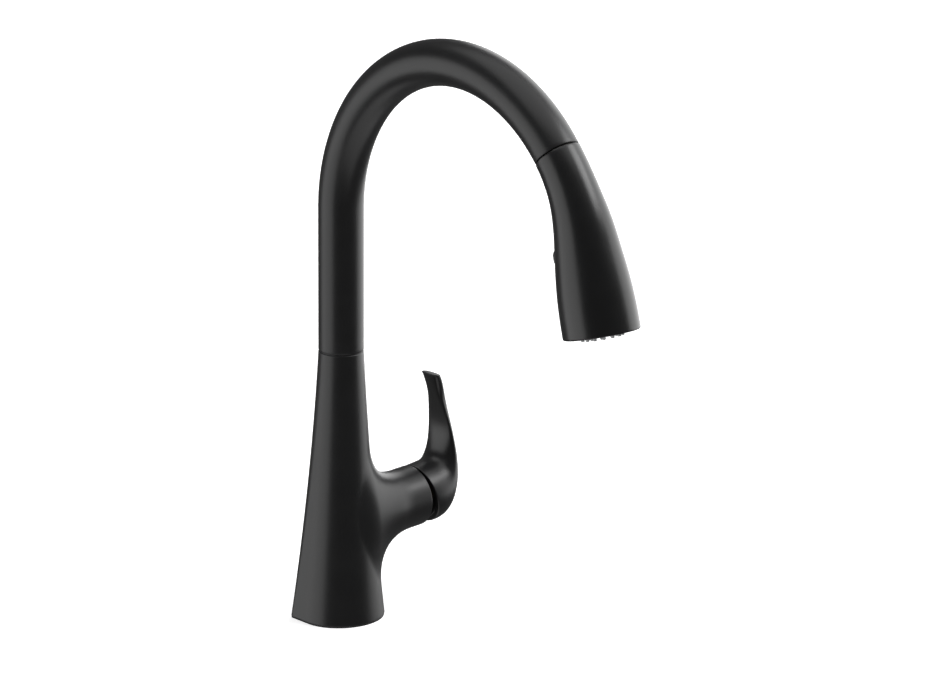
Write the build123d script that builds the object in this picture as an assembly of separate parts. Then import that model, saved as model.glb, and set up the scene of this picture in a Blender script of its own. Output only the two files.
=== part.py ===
from build123d import *
from math import cos, radians, sin
import os

os.makedirs("parts", exist_ok=True)

# A single-lever pull down kitchen faucet, in millimetres. +Z is up and the deck is at z = 0.
# The origin is on the deck under the swivel axis. The spout reaches towards -Y, and the
# lever is on the +X side.

# Overall sizes
body_height = 175.4         # deck to the swivel seam
neck_radius = 14.3          # outside of the gooseneck tube and of the body's top
tube_wall = 1.4
rise = 92.2                 # straight tube above the seam
arch_radius = 110.3         # centre line of the gooseneck's arch
arch_turn = 139.5           # degrees of arch from the straight tube to the docking seam
arch_lengths = 6            # abutting lengths that the arch is drawn in

# Clearances
fit_gap = 0.05              # pieces that are assembled and then stay still
run_gap = 0.3               # pieces that move past each other
pin_gap = 0.05              # running fit of a pin in its bore
seam = 0.6                  # visible seam under the spout and above the spray head

# Body casting
foot_half_width = 28.4
foot_front = 26.8
foot_back = 17.7
foot_corner = 2.8
body_wall = 2.6
body_floor = 6.0
gasket_thick = 0.8
gasket_inset = 0.4          # from the casting's outline
neck_bore = 11.6            # machined for the swivel bushes
neck_bore_depth = 46.0

# Side boss for the valve, its axis tilted a little upwards
boss_radius = 19.34
boss_reach = 60.7           # from the body's axis to the boss's rim
boss_height = 63.6          # where its axis crosses the body's axis
boss_tilt = 3.2
boss_blend = 15.0
boss_bore = 15.5
boss_root = 4.0             # start of the boss inside the body, along its axis
boss_root_half_widths = (14.5, 17.4, 19.0)
boss_root_half_heights = (23.0, 21.2, 19.8)

# Mounting hardware under the deck
collar_radius = 16.6
collar_length = 12.0
shank_neck = 16.0           # screwed into the casting's floor
shank_thread = 16.2
shank_bore = 15.0
shank_length = 78.0
clamp_top = 55.0            # below the deck, leaves room for a 40 mm worktop
clamp_seal_thick = 2.0
washer_thick = 2.0
washer_radius = 27.0
nut_height = 9.0
nut_flats = 50.0
nut_screw_radius = 2.0
nut_screw_circle = 20.4

# Water ways
hose_radius = 5.2
tail_radius = 4.6           # drawn tube
tail_end_radius = 4.76      # sized end for a 3/8 in compression nut
tail_wall = 1.0
tail_circle = 10.15
tail_spread = 58.0          # degrees between neighbouring tails
tail_turn = -12.0           # of the middle tail from +X
tail_bend_depth = 84.0      # below the deck, where the tails bend outwards
tail_bend_radius = 40.0
tail_splay = 10.0
tail_reach = 28.0           # straight tube after the bend
tail_end_length = 20.0      # of it, at the sized end
tail_socket = 6.0           # depth of its socket in the manifold
manifold_gap = 0.5          # to the casting's wall
manifold_bottom = 47.0
manifold_top = 76.0

# Valve cartridge, along the boss's axis
cartridge_radius = 14.0
cartridge_start = 30.0
cartridge_end = 54.0
cartridge_wall = 1.6
disc_thick = 3.0
nut_ring_thick = 5.0
dome_radius = 15.9
dome_length = 3.0
pivot_reach = 49.0          # lift axis of the lever, along the boss's axis
rotor_radius = 10.6
stem_half = 4.0             # half the stem's width
stem_rise = 3.5             # half the stem's height
stem_end = 77.0
pivot_pin_radius = 1.5

# Lever
lever_gap_tilt = 13.0       # plane of the hub's rim, which leaves a wedge under the lever
lever_rim_x = 64.7
lever_rim_z = 67.2
lever_tip = 146.1           # top of the lever above the deck
hub_bore = 16.6
hub_pocket_end = 70.0       # along the boss's axis
screw_reach = 73.5
screw_radius = 2.5
screw_plug_depth = 12.0     # from the boss's axis down to the plug
plug_radius = 3.2

# Swivel
sleeve_radius = 9.6
sleeve_bore = 7.6
sleeve_bottom = 128.0
sleeve_top = 196.0
bush_length = 9.0
clip_radius = 8.8
clip_bottom = 129.2
clip_thick = 1.2
o_ring_heights = (148.0, 156.0)
o_ring_circle = 10.4
o_ring_radius = 1.1

# Dock and pull-out hose
dock_bore = 10.0
dock_collar_turn = 7.0      # degrees of arch that the collar fills
hose_straight_end = 9.5
hose_end_depth = 118.0      # below the deck
ferrule_length = 9.0

# Spray head, along its own bent axis
head_arc_radius = 125.0
head_end_tilt = 15.3        # of the lower, straight part from the vertical
head_straight = 55.4
head_wall = 2.2
rim_rounding = 1.0
head_radii = (14.5, 14.8, 15.7, 17.4, 19.2, 21.0, 22.45, 23.2, 23.35)
spigot_radius = 9.7
spigot_bore = 8.0
spigot_length = 12.0
hose_nut_radius = 7.4
core_radius = 9.6
core_bore = 6.0

# Spray face and button
face_radius = 18.6
face_depth = 6.0            # behind the mouth's rim
face_inset = 1.2
aerator_radius = 5.6
nozzle_radius = 1.1
nozzle_stand = 2.4          # past the mouth's rim
nozzle_rings = ((8, 8.4), (14, 12.2))
button_along = 62.6
button_tall = 10.0
button_wide = 17.0
button_stand = 2.6

BASE = (Align.CENTER, Align.CENTER, Align.MIN)
UP = Plane.XY
boss = Plane(origin=(0, 0, boss_height), x_dir=(0, 1, 0),
             z_dir=(cos(radians(boss_tilt)), 0, sin(radians(boss_tilt))))
spout_foot = body_height + seam
arch_start = body_height + rise


def rod(frame, radius, start, end):
    """A round bar along the frame's Z, from start to end."""
    return frame.location * Pos(0, 0, start) * Cylinder(radius, end - start, align=BASE)


def ring(frame, outer, inner, start, end):
    """A tube along the frame's Z."""
    return rod(frame, outer, start, end) - rod(frame, inner, start - 1, end + 1)


def arch_point(turn, radius=arch_radius):
    """A point on the gooseneck's arch, turn degrees after its start."""
    a = radians(turn)
    return (0, -arch_radius + radius * cos(a), arch_start + radius * sin(a))


def head_frame(along):
    """The spray head's cross-section frame at a distance along its bent axis. Z points to the mouth."""
    start_tilt = radians(180 - arch_turn)
    end_tilt = radians(head_end_tilt)
    arc = head_arc_radius * (start_tilt - end_tilt)
    x, y, z = arch_point(arch_turn)
    on_arc = min(max(along, 0), arc)
    tilt = start_tilt - on_arc / head_arc_radius
    y -= head_arc_radius * (cos(tilt) - cos(start_tilt))
    z -= head_arc_radius * (sin(start_tilt) - sin(tilt))
    straight = along - on_arc
    y -= straight * sin(tilt)
    z -= straight * cos(tilt)
    return Plane(origin=(x, y, z), x_dir=(1, 0, 0), z_dir=(0, -sin(tilt), -cos(tilt)))


dock = head_frame(0)
head_length = head_arc_radius * radians(180 - arch_turn - head_end_tilt) + head_straight
mouth = head_frame(head_length)


def body_section(z, inset):
    """The body's D-shaped section at a height: round in front, square at the back."""
    drop = (body_height - z) / body_height
    flare = 0.63 * drop + 0.37 * drop * drop
    half = neck_radius + (foot_half_width - neck_radius) * flare - inset
    front = neck_radius + (foot_front - neck_radius) * flare - inset
    back = neck_radius + (foot_back - neck_radius) * drop - inset
    corner = foot_corner + (neck_radius - foot_corner) * (1 - drop ** 1.7) - inset
    corner = min(max(corner, 0.6), back - 0.05)
    quarter = corner * (1 - cos(radians(45)))
    with BuildSketch(Plane.XY.offset(z)) as section:
        with BuildLine():
            EllipticalCenterArc((0, 0), half, front, start_angle=180, arc_size=180)
            Line((half, 0), (half, back - corner))
            ThreePointArc((half, back - corner), (half - quarter, back - quarter), (half - corner, back))
            Line((half - corner, back), (-half + corner, back))
            ThreePointArc((-half + corner, back), (-half + quarter, back - quarter), (-half, back - corner))
            Line((-half, back - corner), (-half, 0))
        make_face()
    return section.sketch


def body_form(inset, bottom, top):
    """The flaring body as a solid between two heights."""
    steps = 6
    heights = [bottom + (top - bottom) * i / steps for i in range(steps + 1)]
    return loft([body_section(z, inset) for z in heights])


def boss_form():
    """The side boss: an upright oval where it leaves the body, round at its rim."""
    half_widths = (*boss_root_half_widths, boss_radius)
    half_heights = (*boss_root_half_heights, boss_radius)
    step = (boss_reach - boss_root) / (len(half_widths) - 1)
    sections = []
    for index, (wide, high) in enumerate(zip(half_widths, half_heights)):
        frame = Plane(boss.location * Location((0, 0, boss_root + step * index)))
        sections.append(frame * Ellipse(wide, high))
    return loft(sections)


def body_shell():
    shell = body_form(0, gasket_thick, body_height) + boss_form()
    joint = shell.edges().filter_by(lambda e: e.center().X > 8 and e.center().X < boss_reach - 20
                                    and abs(e.center().Z - boss_height) < boss_radius + 8)
    joint = [e for e in joint if e.length > boss_radius]
    shell = fillet(joint, boss_blend)
    cavity_top = body_height - neck_bore_depth
    shell -= body_form(body_wall, gasket_thick + body_floor, cavity_top)
    shell -= rod(UP, neck_bore, cavity_top - 3, body_height + 1)
    shell -= rod(UP, shank_neck + fit_gap, 0, gasket_thick + body_floor + 1)
    shell -= rod(boss, boss_bore, 0, boss_reach + 1)
    return shell


def deck_gasket():
    gasket = extrude(body_section(0, gasket_inset), gasket_thick)
    return gasket - rod(UP, collar_radius + fit_gap, -1, gasket_thick + 1)


def mounting_shank():
    shank = rod(UP, collar_radius, -collar_length, 0)
    shank += rod(UP, shank_thread, -shank_length, -collar_length)
    shank += rod(UP, shank_neck, 0, gasket_thick + body_floor)
    return shank - rod(UP, shank_bore, -shank_length - 1, gasket_thick + body_floor + 1)


def clamp_seal():
    return ring(UP, washer_radius - 1, shank_thread + run_gap, -clamp_top - clamp_seal_thick, -clamp_top)


def clamp_washer():
    top = -clamp_top - clamp_seal_thick
    return ring(UP, washer_radius, shank_thread + run_gap, top - washer_thick, top)


def nut_frame(index):
    return UP.location * Rot(0, 0, 180 * index) * Pos(nut_screw_circle, 0, 0)


nut_top = -clamp_top - clamp_seal_thick - washer_thick


def mounting_nut():
    with BuildSketch(Plane.XY.offset(nut_top - nut_height)) as outline:
        RegularPolygon(nut_flats / 2, 6, major_radius=False)
    nut = extrude(outline.sketch, nut_height)
    nut = fillet(nut.edges().filter_by(Axis.Z), 2)
    nut -= rod(UP, shank_thread + fit_gap, nut_top - nut_height - 1, nut_top + 1)
    for index in range(2):
        nut -= nut_frame(index) * Pos(0, 0, nut_top - nut_height - 1) * Cylinder(
            nut_screw_radius + fit_gap, nut_height + 2, align=BASE)
    return nut


def nut_screws():
    screws = []
    for index in range(2):
        bottom = nut_top - nut_height - 6
        screw = Pos(0, 0, bottom) * Cylinder(nut_screw_radius, nut_height + 6, align=BASE)
        head = Pos(0, 0, bottom - 3) * Cylinder(nut_screw_radius + 1.6, 3, align=BASE)
        slot = Pos(0, 0, bottom - 3) * Box(9, 1, 2.4)
        screws.append(nut_frame(index) * (screw + head - slot))
    return Compound(children=screws)


def tail_frame(index):
    """A tail's place at deck height. Z points down and -Y outwards."""
    angle = radians(tail_spread * (index - 1) + tail_turn)
    return Plane(origin=(tail_circle * cos(angle), tail_circle * sin(angle), 0),
                 x_dir=(sin(angle), -cos(angle), 0), z_dir=(0, 0, -1))


def tail_end_frame(index):
    """The frame after a tail's bend, its Z along the tube."""
    start = tail_frame(index)
    splay = radians(tail_splay)
    outwards = tail_bend_radius * (1 - cos(splay))
    down = tail_bend_depth + tail_bend_radius * sin(splay)
    origin = start.origin - start.y_dir * outwards + start.z_dir * down
    return Plane(origin=origin, x_dir=start.x_dir,
                 z_dir=start.z_dir * cos(splay) - start.y_dir * sin(splay))


def tail_bar(index, radius, end_radius):
    """A bar on a tail's path: down through the shank, a bend outwards and a sized end."""
    start = tail_frame(index)
    end = tail_end_frame(index)
    bar = rod(start, radius, -manifold_bottom - tail_socket, tail_bend_depth)
    corner = Plane(start.location * Location((0, 0, tail_bend_depth)))
    bar += bend(corner, radius, tail_bend_radius, tail_splay)
    bar += rod(end, radius, 0, tail_reach - tail_end_length)
    return bar + rod(end, end_radius, tail_reach - tail_end_length, tail_reach)


def water_tail(index):
    """A rigid tube from the manifold down through the shank."""
    bore = tail_radius - tail_wall
    return tail_bar(index, tail_radius, tail_end_radius) - tail_bar(index, bore, bore)


def valve_manifold():
    block = body_form(body_wall + manifold_gap, manifold_bottom, manifold_top)
    block &= Pos(-3, 0, 0) * Box(60, 60, 200, align=(Align.MIN, Align.CENTER, Align.CENTER))
    block += rod(boss, boss_bore - fit_gap - 1.2, 8, cartridge_start)
    block -= rod(UP, hose_radius + run_gap + 0.5, 0, body_height)
    for index in range(3):
        tail = tail_frame(index)
        block -= rod(tail, tail_radius + fit_gap, -manifold_bottom - tail_socket, 1 - manifold_bottom)
        block -= rod(tail, tail_radius - tail_wall, -manifold_bottom - tail_socket - 8, -manifold_bottom)
    return block


def cartridge_housing():
    cup = rod(boss, cartridge_radius, cartridge_start + 1, cartridge_end)
    cup -= rod(boss, cartridge_radius - cartridge_wall, cartridge_start + 3, cartridge_end - 2)
    return cup - rod(boss, rotor_radius + run_gap, cartridge_end - 3, cartridge_end + 1)


def cartridge_seal():
    return ring(boss, cartridge_radius - 0.6, cartridge_radius - 3.2, cartridge_start, cartridge_start + 1)


def fixed_disc():
    start = cartridge_start + 3
    disc = rod(boss, cartridge_radius - cartridge_wall - fit_gap, start, start + disc_thick)
    port = Pos(6.4, 0, cartridge_start) * Cylinder(2.6, 10, align=BASE)
    for angle in (90, 210, 330):
        disc -= boss.location * Rot(0, 0, angle) * port
    return disc


def moving_disc():
    start = cartridge_start + 3 + disc_thick + 0.05
    disc = rod(boss, rotor_radius - 0.4, start, start + disc_thick)
    return disc - boss.location * Pos(2.5, 0, start - 1) * Cylinder(4.6, 2.8, align=BASE)


def rotor_sleeve():
    """The turning sleeve of the cartridge, slotted so that the stem can tilt in it."""
    start = cartridge_start + 3 + 2 * disc_thick + 0.1
    sleeve = rod(boss, rotor_radius, start, cartridge_end + 1)
    sleeve += rod(boss, cartridge_radius - cartridge_wall - run_gap, start, start + 4)
    slot = Box(2 * (stem_half + run_gap), 2 * (rotor_radius - 1.4), 40, align=BASE)
    sleeve -= boss.location * Pos(0, 0, start + 2) * slot
    return sleeve - pivot_bar(pivot_pin_radius + fit_gap, 2 * rotor_radius + 2)


def pivot_bar(radius, length):
    """A bar on the lever's lift axis."""
    return boss.location * Pos(0, 0, pivot_reach) * Rot(0, 90, 0) * Cylinder(radius, length)


def pivot_pin():
    return pivot_bar(pivot_pin_radius, 2 * rotor_radius - 1)


def cartridge_nut():
    nut = ring(boss, boss_bore - fit_gap, rotor_radius + 1.4, cartridge_end, cartridge_end + nut_ring_thick)
    notch = Pos(rotor_radius + 1.4, 0, cartridge_end + 3) * Box(3, 3, 6, align=BASE)
    for angle in range(0, 360, 60):
        nut -= boss.location * Rot(0, 0, angle) * notch
    return nut


def dome_collar():
    """The black dome that closes the boss and shows in the gap under the lever."""
    dome = rod(boss, dome_radius, boss_reach + 0.1, boss_reach + dome_length)
    dome = fillet(dome.edges().filter_by(GeomType.CIRCLE).sort_by(Axis.X)[-1:], 2.4)
    dome += rod(boss, boss_bore - fit_gap, cartridge_end + nut_ring_thick, boss_reach + 0.2)
    return dome - rod(boss, rotor_radius + 1.2, 0, 2 * boss_reach)


def lever_section(inner, outer, half_width):
    """An elliptical section of the lever between two points of its side view."""
    wide = outer.X - inner.X
    high = inner.Y - outer.Y
    length = (wide ** 2 + high ** 2) ** 0.5
    frame = Plane(origin=((inner.X + outer.X) / 2, 0, (inner.Y + outer.Y) / 2),
                  x_dir=(0, 1, 0), z_dir=(high / length, 0, wide / length))
    with BuildSketch(frame) as section:
        with BuildLine():
            EllipticalCenterArc((0, 0), half_width, length / 2, start_angle=0, arc_size=180)
            EllipticalCenterArc((0, 0), half_width, length / 2, start_angle=180, arc_size=180)
        make_face()
    return section.sketch


def lever_form():
    """Hub and lever as one solid, lofted between the inner and outer edge of its side view."""
    lean = radians(lever_gap_tilt)
    grow = boss_radius - 19.34
    inner = Spline(
        (lever_rim_x - boss_radius * sin(lean), lever_rim_z + boss_radius * cos(lean)),
        (68.6, 87.0 + grow),
        (76.4, 88.9 + grow),
        (81.3, 96.4),
        (82.3, 110.0),
        (79.7, 122.0),
        (76.3, 134.5),
        (72.5, lever_tip),
    )
    outer = Spline(
        (lever_rim_x + boss_radius * sin(lean), lever_rim_z - boss_radius * cos(lean)),
        (82.4, 52.4 - grow),
        (89.2, 67.6 - grow / 2),
        (89.2, 89.5),
        (87.4, 108.5),
        (85.6, 122.0),
        (83.2, 134.0),
        (79.4, lever_tip - 1.2),
    )
    half_widths = (boss_radius, boss_radius, boss_radius - 3.8, 9.2, 6.4, 6.1, 6.3, 6.3)
    sections = []
    for index, half_width in enumerate(half_widths):
        share = index / (len(half_widths) - 1)
        sections.append(lever_section(inner @ share, outer @ share, half_width))
    return loft(sections)


def handle_lever():
    """Hub and lever, one casting with a pocket for the valve's dome and a socket for its stem."""
    lever = lever_form()
    pocket = rod(boss, hub_bore, boss_reach - 8, hub_pocket_end)
    lever -= fillet(pocket.edges().filter_by(GeomType.CIRCLE).sort_by(Axis.X)[-1:], 4)
    lever -= stem_block(fit_gap, boss_reach, stem_end + 0.5)
    lever -= rod(screw_axis, screw_radius + fit_gap, -2 * boss_radius, -stem_rise)
    return lever - rod(screw_axis, plug_radius, -2 * boss_radius, -screw_plug_depth)


def stem_block(gap, start, end):
    """The stem's square bar, or the socket for it when gap is added on each side."""
    return boss.location * Pos(0, 0, start) * Box(
        2 * (stem_half + gap), 2 * (stem_rise + gap), end - start, align=BASE)


screw_axis = Plane(origin=boss.from_local_coords((0, 0, screw_reach)), x_dir=boss.x_dir, z_dir=boss.y_dir)


def stem():
    """The square stem, pinned in the rotor and clamped in the lever."""
    bar = stem_block(0, pivot_reach - 3.2, stem_end)
    return bar - pivot_bar(pivot_pin_radius + pin_gap, 20)


def lever_set_screw():
    """Grub screw under the hub that clamps the lever on the stem."""
    screw = rod(screw_axis, screw_radius, -screw_plug_depth + 0.5, -stem_rise - fit_gap)
    with BuildSketch(Plane(screw_axis.location * Location((0, 0, -screw_plug_depth + 0.5)))) as socket:
        RegularPolygon(1.25, 6, major_radius=False)
    return screw - extrude(socket.sketch, 2.5, dir=screw_axis.z_dir)


def lever_plug():
    """Cap that hides the set screw."""
    return rod(screw_axis, plug_radius - fit_gap, -screw_plug_depth - 2.5, -screw_plug_depth)


def bend(frame, radius, bend_radius, turn):
    """A round bar that leaves the frame along its Z and bends towards its -Y."""
    centre = frame.origin - frame.y_dir * bend_radius
    return revolve(frame * Circle(radius), Axis(centre, frame.x_dir), turn)


arch = Plane.XY.offset(arch_start)


def arch_frame(turn):
    a = radians(turn)
    return Plane(origin=arch_point(turn), x_dir=(1, 0, 0), z_dir=(0, -sin(a), cos(a)))


def spout_tube():
    """The gooseneck: a straight rise and an arch in short abutting lengths, open right through."""
    bore = neck_radius - tube_wall
    lengths = [ring(UP, neck_radius, bore, spout_foot, arch_start)]
    turn = arch_turn / arch_lengths
    for index in range(arch_lengths):
        frame = arch_frame(turn * index)
        lengths.append(bend(frame, neck_radius, arch_radius, turn) - bend(frame, bore, arch_radius, turn))
    return Compound(children=lengths)


def swivel_sleeve():
    """The spout's tail, soldered in the tube and turning in the body's bushes."""
    sleeve = rod(UP, sleeve_radius, sleeve_bottom, sleeve_top)
    sleeve += rod(UP, neck_radius - tube_wall - fit_gap, spout_foot + 0.2, sleeve_top)
    sleeve -= rod(UP, sleeve_bore, sleeve_bottom - 1, sleeve_top + 1)
    sleeve -= ring(UP, sleeve_radius + 1, clip_radius, clip_bottom, clip_bottom + clip_thick)
    for height in o_ring_heights:
        sleeve -= ring(UP, sleeve_radius + 1, o_ring_circle - o_ring_radius - fit_gap,
                       height - o_ring_radius - 0.2, height + o_ring_radius + 0.2)
    return sleeve


def swivel_clip():
    """Open snap ring that holds the spout down."""
    top = clip_bottom + clip_thick - fit_gap
    clip = ring(UP, neck_bore - 0.6, clip_radius + fit_gap, clip_bottom + fit_gap, top)
    return clip - Pos(0, 10, clip_bottom) * Box(6, 20, 8, align=(Align.CENTER, Align.MIN, Align.CENTER))


def swivel_o_rings():
    rings = [Pos(0, 0, height) * Torus(o_ring_circle, o_ring_radius) for height in o_ring_heights]
    return Compound(children=rings)


def swivel_bush(bottom):
    return ring(UP, neck_bore - fit_gap, sleeve_radius + pin_gap, bottom, bottom + bush_length)


def glide_ring():
    """Thin plastic ring that the spout turns on, in the seam."""
    return ring(UP, neck_radius - 0.5, sleeve_radius + run_gap, body_height, spout_foot - 0.1)


def dock_piece(radius, bore, first, last):
    """A ring that fills the tube near its mouth, with a straight bore on the docking axis."""
    frame = arch_frame(arch_turn - last)
    piece = bend(frame, radius, arch_radius, last - first)
    return piece - rod(dock, bore, -40, 10)


def dock_collar():
    return dock_piece(neck_radius - tube_wall - fit_gap, dock_bore, 0.3, dock_collar_turn)


def dock_magnet():
    start = dock_collar_turn + 0.1
    return dock_piece(neck_radius - tube_wall - run_gap, hose_radius + 2.4, start, start + 2.9)


hose_bend = arch_radius - hose_straight_end / (sin(radians(arch_turn / 2)) / cos(radians(arch_turn / 2)))


def pull_hose():
    """The spray hose, from its coupling under the deck through shank, body and arch to the dock."""
    start = Plane.XY.offset(arch_start + hose_straight_end)
    hose = rod(UP, hose_radius, -hose_end_depth, arch_start + hose_straight_end)
    hose += bend(start, hose_radius, hose_bend, arch_turn)
    return hose + rod(dock, hose_radius, -hose_straight_end, -ferrule_length)


def hose_coupling():
    """Quick coupling on the lower end of the hose."""
    body = rod(UP, hose_radius + 1.2, -hose_end_depth - 14, -hose_end_depth)
    body += rod(UP, hose_radius + 2.6, -hose_end_depth - 9, -hose_end_depth - 5)
    return body - rod(UP, 3.2, -hose_end_depth - 15, -hose_end_depth - 2)


def hose_ferrule():
    ferrule = rod(dock, hose_radius + 1.2, -ferrule_length, 3)
    return ferrule - rod(dock, 3.4, -ferrule_length - 1, 4)


def hose_nut():
    """Ball nut at the hose's end, which lets the spray head turn on the hose."""
    nut = rod(dock, hose_nut_radius, 3, 14)
    nut = fillet(nut.edges().filter_by(GeomType.CIRCLE), 1.5)
    return nut - rod(dock, 3.4, 2, 15)


def head_form(inset, start, end):
    """The flared form of the spray head between two distances along its bent axis."""
    stations = [start + (end - start) * i / (len(head_radii) - 1) for i in range(len(head_radii))]
    return loft([head_frame(along) * Circle(radius - inset) for along, radius in zip(stations, head_radii)])


def button_outline(grow, start, end):
    """The button's rounded outline as a prism, square to the head's back."""
    with BuildSketch(Plane(button.location * Location((0, 0, start)))) as outline:
        RectangleRounded(button_wide + 2 * grow, button_tall + 2 * grow, button_tall * 0.42 + grow)
    return extrude(outline.sketch, end - start, dir=button.z_dir)


button = Plane(origin=head_frame(button_along).origin, x_dir=(1, 0, 0), z_dir=-head_frame(button_along).y_dir)
button_step = (button_along - seam) / (head_length - seam) * (len(head_radii) - 1)
button_index = int(button_step)
button_surface = head_radii[button_index] + (
    head_radii[button_index + 1] - head_radii[button_index]) * (button_step - button_index)
button_flange = ((button_surface - head_wall) ** 2 - (button_wide / 2 + 1) ** 2) ** 0.5 - 0.4


def head_shell():
    """Outer shell of the spray head, open at both ends, with the button's window."""
    shell = head_form(0, seam, head_length)
    rim = shell.faces().filter_by(GeomType.PLANE).sort_by(Axis.Z)[0]
    shell = fillet(rim.edges(), rim_rounding)
    shell -= head_form(head_wall, seam - 0.5, head_length + 0.2)
    return shell - button_outline(0.35, 8, button_surface + 8)


def head_core():
    """Docking spigot, water way and carrier of the spray face, in one moulding."""
    arc_turn = 180 - arch_turn - head_end_tilt
    core = rod(dock, spigot_radius, -spigot_length, 4)
    core += rod(dock, head_radii[0] - head_wall - 0.15, seam + 0.4, 4)
    core += bend(dock, core_radius, head_arc_radius, arc_turn)
    bend_end = head_frame(head_length - head_straight)
    core += rod(bend_end, core_radius, 0, head_straight - face_depth - 3)
    core += rod(mouth, head_radii[-2] - head_wall - 0.3, -face_depth - 6, -face_depth)
    core -= rod(dock, spigot_bore, -spigot_length - 1, 15)
    core -= bend(dock, core_bore, head_arc_radius, arc_turn)
    core -= rod(bend_end, core_bore, 0, head_straight)
    core -= rod(button, 4.2, core_radius - 2, core_radius + 4)
    return core - rod(button, 1.5 + run_gap, 0, core_radius)


def check_valve():
    middle = head_frame(27)
    valve = rod(middle, core_bore - 0.3, -5, 5)
    return valve - rod(middle, 3.0, -6, 2)


def spray_face():
    """Plate that holds the nozzles and the aerator."""
    plate = rod(mouth, face_radius, -face_depth + 1.4, -face_inset)
    plate -= rod(mouth, aerator_radius + fit_gap, -30, 10)
    for frame in nozzle_frames():
        plate -= rod(frame, nozzle_radius + fit_gap, -30, 10)
    return plate


def nozzle_frames():
    frames = []
    for count, circle in nozzle_rings:
        for index in range(count):
            frames.append(Plane(mouth.location * Rot(0, 0, 360 * index / count) * Location((circle, 0, 0))))
    return frames


def spray_nozzles():
    """Soft nozzles, pushed through the spray face from behind."""
    nozzles = []
    for frame in nozzle_frames():
        shank = rod(frame, nozzle_radius, -face_depth + 0.6, nozzle_stand)
        shank = fillet(shank.edges().filter_by(GeomType.CIRCLE).sort_by(Axis.Z)[:1], nozzle_radius * 0.4)
        base = rod(frame, nozzle_radius + 0.5, -face_depth + 0.4, -face_depth + 1.3)
        nozzles.append(shank + base - rod(frame, 0.45, -face_depth, nozzle_stand + 1))
    return Compound(children=nozzles)


def aerator():
    """Aerator insert for the plain stream, with a cross-shaped screen."""
    insert = rod(mouth, aerator_radius, -face_depth + 1.0, -face_inset + 0.6)
    for x in (-3, -1, 1, 3):
        for y in (-3, -1, 1, 3):
            insert -= mouth.location * Pos(x, y, -2.4) * Box(1.4, 1.4, 4, align=BASE)
    return insert


def face_ring():
    """Ring that clamps the spray face in the shell's mouth."""
    return ring(mouth, head_radii[-1] - head_wall - 0.15, face_radius + fit_gap, -face_depth + 1.4, -0.5)


def spray_button():
    """Rocker-shaped push button: its face follows the head, its flange stops behind the shell."""
    pad = button_outline(0, button_flange - 2, button_surface + button_stand)
    pad &= rod(head_frame(button_along), button_surface + button_stand, -20, 20)
    pad += button_outline(1.0, button_flange - 2, button_flange)
    return pad - rod(button, 3.6, button_flange - 3, button_flange + 1)


def button_spindle():
    """Plunger that moves the diverter in the head's water way."""
    spindle = rod(button, 1.5, core_radius - 2.6, button_flange + 1)
    return spindle + rod(button, 3.5, button_flange - 0.6, button_flange + 1)


def button_spring():
    bottom = core_radius - 2
    top = button_flange - 0.6
    wire = 0.35
    turns = 3.5
    height = top - bottom - 2 * wire - 0.1
    path = Helix(pitch=height / turns, height=height, radius=2.7)
    section = Plane(origin=path @ 0, z_dir=path % 0) * Circle(wire)
    coil = sweep(section, path=path)
    return button.location * Pos(0, 0, bottom + wire + 0.05) * coil


def save(name, shape):
    shape.label = name
    export_step(shape, f"parts/{name}.step")


save("body_shell", body_shell())
save("deck_gasket", deck_gasket())
save("mounting_shank", mounting_shank())
save("clamp_seal", clamp_seal())
save("clamp_washer", clamp_washer())
save("mounting_nut", mounting_nut())
save("nut_screws", nut_screws())
for index, name in enumerate(("cold_tail", "outlet_tail", "hot_tail")):
    save(name, water_tail(index))
save("valve_manifold", valve_manifold())
save("cartridge_housing", cartridge_housing())
save("cartridge_seal", cartridge_seal())
save("fixed_disc", fixed_disc())
save("moving_disc", moving_disc())
save("rotor_sleeve", rotor_sleeve())
save("pivot_pin", pivot_pin())
save("cartridge_nut", cartridge_nut())
save("dome_collar", dome_collar())
save("stem", stem())
save("handle_lever", handle_lever())
save("lever_set_screw", lever_set_screw())
save("lever_plug", lever_plug())
save("spout_tube", spout_tube())
save("swivel_sleeve", swivel_sleeve())
save("swivel_clip", swivel_clip())
save("swivel_o_rings", swivel_o_rings())
save("lower_bush", swivel_bush(clip_bottom + clip_thick + run_gap))
save("upper_bush", swivel_bush(body_height - bush_length - 0.1))
save("glide_ring", glide_ring())
save("dock_collar", dock_collar())
save("dock_magnet", dock_magnet())
save("pull_hose", pull_hose())
save("hose_coupling", hose_coupling())
save("hose_ferrule", hose_ferrule())
save("hose_nut", hose_nut())
save("head_shell", head_shell())
save("head_core", head_core())
save("check_valve", check_valve())
save("spray_face", spray_face())
save("spray_nozzles", spray_nozzles())
save("aerator", aerator())
save("face_ring", face_ring())
save("spray_button", spray_button())
save("button_spindle", button_spindle())
save("button_spring", button_spring())
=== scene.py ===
from math import ceil, cos, pi, radians, sin, sqrt, tan

import bmesh
import bpy
import numpy as np
from mathutils import Matrix, Vector


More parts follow.
